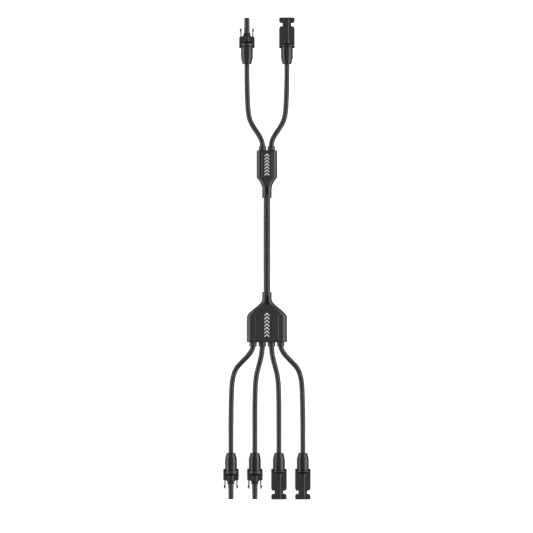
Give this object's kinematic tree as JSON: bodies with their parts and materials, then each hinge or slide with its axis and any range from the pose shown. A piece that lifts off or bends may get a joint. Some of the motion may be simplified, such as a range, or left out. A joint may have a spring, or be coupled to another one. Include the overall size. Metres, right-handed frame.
{
  "type": "solar cable connector",
  "caption": "Flat branch harness for solar panels: latching probe and socket connectors on short leads join in two moulded junctions with a trunk cable between them.",
  "frame": {"origin": "the middle of the harness's footprint, on the plane it lies on, with its cords left out", "axes": "+Y along the harness from the four branch connectors to the two single connectors, +X to the right seen from above with +Y up (the socket connectors' side), +Z up from the plane it lies on"},
  "size_m": [0.1068, 0.5876, 0.0147],
  "materials": {
    "housing": "fine moulded texture, charcoal black",
    "latch": "fine moulded texture, charcoal black",
    "nut": "satin moulded, charcoal black",
    "junction": "satin overmoulding, charcoal black",
    "jacket": "smooth extruded jacket, black",
    "seal": "matt rubber",
    "collet": "moulded, dark grey",
    "contact": "tin-plated",
    "carrier": "moulded, grey"
  },
  "bodies": {
    "harness": {"top_probe_housing": "housing", "top_probe_seal_ring": "seal", "top_probe_contact_socket": "contact", "top_probe_gland_seal": "seal", "top_socket_housing": "housing", "top_socket_contact_pin": "contact", "top_socket_gland_seal": "seal", "branch_probe_1_housing": "housing", "branch_probe_1_seal_ring": "seal", "branch_probe_1_contact_socket": "contact", "branch_probe_1_gland_seal": "seal", "branch_probe_2_housing": "housing", "branch_probe_2_seal_ring": "seal", "branch_probe_2_contact_socket": "contact", "branch_probe_2_gland_seal": "seal", "branch_socket_1_housing": "housing", "branch_socket_1_contact_pin": "contact", "branch_socket_1_gland_seal": "seal", "branch_socket_2_housing": "housing", "branch_socket_2_contact_pin": "contact", "branch_socket_2_gland_seal": "seal", "top_junction_body": "junction", "top_junction_splice_carrier": "carrier", "top_junction_probe_splice": "contact", "top_junction_socket_splice": "contact", "branch_junction_body": "junction", "branch_junction_splice_carrier": "carrier", "branch_junction_probe_splice": "contact", "branch_junction_socket_splice": "contact", "top_probe_cable": "jacket", "top_socket_cable": "jacket", "branch_probe_1_cable": "jacket", "branch_probe_2_cable": "jacket", "branch_socket_1_cable": "jacket", "branch_socket_2_cable": "jacket", "trunk_cable": "jacket"},
    "top_probe_left_finger": {"top_probe_latch_left": "latch"},
    "top_probe_right_finger": {"top_probe_latch_right": "latch"},
    "top_probe_collet": {"top_probe_clamp_collet": "collet"},
    "top_probe_nut": {"top_probe_cap_nut": "nut"},
    "top_socket_collet": {"top_socket_clamp_collet": "collet"},
    "top_socket_nut": {"top_socket_cap_nut": "nut"},
    "branch_probe_1_left_finger": {"branch_probe_1_latch_left": "latch"},
    "branch_probe_1_right_finger": {"branch_probe_1_latch_right": "latch"},
    "branch_probe_1_collet": {"branch_probe_1_clamp_collet": "collet"},
    "branch_probe_1_nut": {"branch_probe_1_cap_nut": "nut"},
    "branch_probe_2_left_finger": {"branch_probe_2_latch_left": "latch"},
    "branch_probe_2_right_finger": {"branch_probe_2_latch_right": "latch"},
    "branch_probe_2_collet": {"branch_probe_2_clamp_collet": "collet"},
    "branch_probe_2_nut": {"branch_probe_2_cap_nut": "nut"},
    "branch_socket_1_collet": {"branch_socket_1_clamp_collet": "collet"},
    "branch_socket_1_nut": {"branch_socket_1_cap_nut": "nut"},
    "branch_socket_2_collet": {"branch_socket_2_clamp_collet": "collet"},
    "branch_socket_2_nut": {"branch_socket_2_cap_nut": "nut"}
  },
  "joints": [
    {"name": "top_probe_latch_left_flex", "type": "hinge", "parent": "harness", "child": "top_probe_left_finger", "pos_m": [-0.0316, 0.2682, 0.00735], "axis": [0, 0, -1], "range_deg": [0, 7], "stiffness_Nm_per_rad": 0.4},
    {"name": "top_probe_latch_right_flex", "type": "hinge", "parent": "harness", "child": "top_probe_right_finger", "pos_m": [-0.0172, 0.2682, 0.00735], "axis": [0, 0, 1], "range_deg": [0, 7], "stiffness_Nm_per_rad": 0.4},
    {"name": "top_probe_nut_travel", "type": "slide", "parent": "harness", "child": "top_probe_collet", "axis": [0, -1, 0], "range_m": [0, 0.0045]},
    {"name": "top_probe_nut_turn", "type": "hinge", "parent": "top_probe_collet", "child": "top_probe_nut", "pos_m": [-0.0244, 0.2488, 0.00735], "axis": [0, -1, 0], "range_deg": [0, 1080]},
    {"name": "top_socket_nut_travel", "type": "slide", "parent": "harness", "child": "top_socket_collet", "axis": [0, -1, 0], "range_m": [0, 0.0045]},
    {"name": "top_socket_nut_turn", "type": "hinge", "parent": "top_socket_collet", "child": "top_socket_nut", "pos_m": [0.0244, 0.2488, 0.00735], "axis": [0, -1, 0], "range_deg": [0, 1080]},
    {"name": "branch_probe_1_latch_left_flex", "type": "hinge", "parent": "harness", "child": "branch_probe_1_left_finger", "pos_m": [-0.0367, -0.2682, 0.00735], "axis": [0, 0, -1], "range_deg": [0, 7], "stiffness_Nm_per_rad": 0.4},
    {"name": "branch_probe_1_latch_right_flex", "type": "hinge", "parent": "harness", "child": "branch_probe_1_right_finger", "pos_m": [-0.0511, -0.2682, 0.00735], "axis": [0, 0, 1], "range_deg": [0, 7], "stiffness_Nm_per_rad": 0.4},
    {"name": "branch_probe_1_nut_travel", "type": "slide", "parent": "harness", "child": "branch_probe_1_collet", "axis": [0, 1, 0], "range_m": [0, 0.0045]},
    {"name": "branch_probe_1_nut_turn", "type": "hinge", "parent": "branch_probe_1_collet", "child": "branch_probe_1_nut", "pos_m": [-0.0439, -0.2488, 0.00735], "axis": [0, 1, 0], "range_deg": [0, 1080]},
    {"name": "branch_probe_2_latch_left_flex", "type": "hinge", "parent": "harness", "child": "branch_probe_2_left_finger", "pos_m": [-0.0075, -0.2682, 0.00735], "axis": [0, 0, -1], "range_deg": [0, 7], "stiffness_Nm_per_rad": 0.4},
    {"name": "branch_probe_2_latch_right_flex", "type": "hinge", "parent": "harness", "child": "branch_probe_2_right_finger", "pos_m": [-0.0219, -0.2682, 0.00735], "axis": [0, 0, 1], "range_deg": [0, 7], "stiffness_Nm_per_rad": 0.4},
    {"name": "branch_probe_2_nut_travel", "type": "slide", "parent": "harness", "child": "branch_probe_2_collet", "axis": [0, 1, 0], "range_m": [0, 0.0045]},
    {"name": "branch_probe_2_nut_turn", "type": "hinge", "parent": "branch_probe_2_collet", "child": "branch_probe_2_nut", "pos_m": [-0.0147, -0.2488, 0.00735], "axis": [0, 1, 0], "range_deg": [0, 1080]},
    {"name": "branch_socket_1_nut_travel", "type": "slide", "parent": "harness", "child": "branch_socket_1_collet", "axis": [0, 1, 0], "range_m": [0, 0.0045]},
    {"name": "branch_socket_1_nut_turn", "type": "hinge", "parent": "branch_socket_1_collet", "child": "branch_socket_1_nut", "pos_m": [0.0147, -0.2488, 0.00735], "axis": [0, 1, 0], "range_deg": [0, 1080]},
    {"name": "branch_socket_2_nut_travel", "type": "slide", "parent": "harness", "child": "branch_socket_2_collet", "axis": [0, 1, 0], "range_m": [0, 0.0045]},
    {"name": "branch_socket_2_nut_turn", "type": "hinge", "parent": "branch_socket_2_collet", "child": "branch_socket_2_nut", "pos_m": [0.0439, -0.2488, 0.00735], "axis": [0, 1, 0], "range_deg": [0, 1080]}
  ],
  "couplings": [
    {"joint": "top_probe_nut_turn", "follows": "top_probe_nut_travel", "rad_per_m": 4188.8},
    {"joint": "top_socket_nut_turn", "follows": "top_socket_nut_travel", "rad_per_m": 4188.8},
    {"joint": "branch_probe_1_nut_turn", "follows": "branch_probe_1_nut_travel", "rad_per_m": 4188.8},
    {"joint": "branch_probe_2_nut_turn", "follows": "branch_probe_2_nut_travel", "rad_per_m": 4188.8},
    {"joint": "branch_socket_1_nut_turn", "follows": "branch_socket_1_nut_travel", "rad_per_m": 4188.8},
    {"joint": "branch_socket_2_nut_turn", "follows": "branch_socket_2_nut_travel", "rad_per_m": 4188.8}
  ]
}
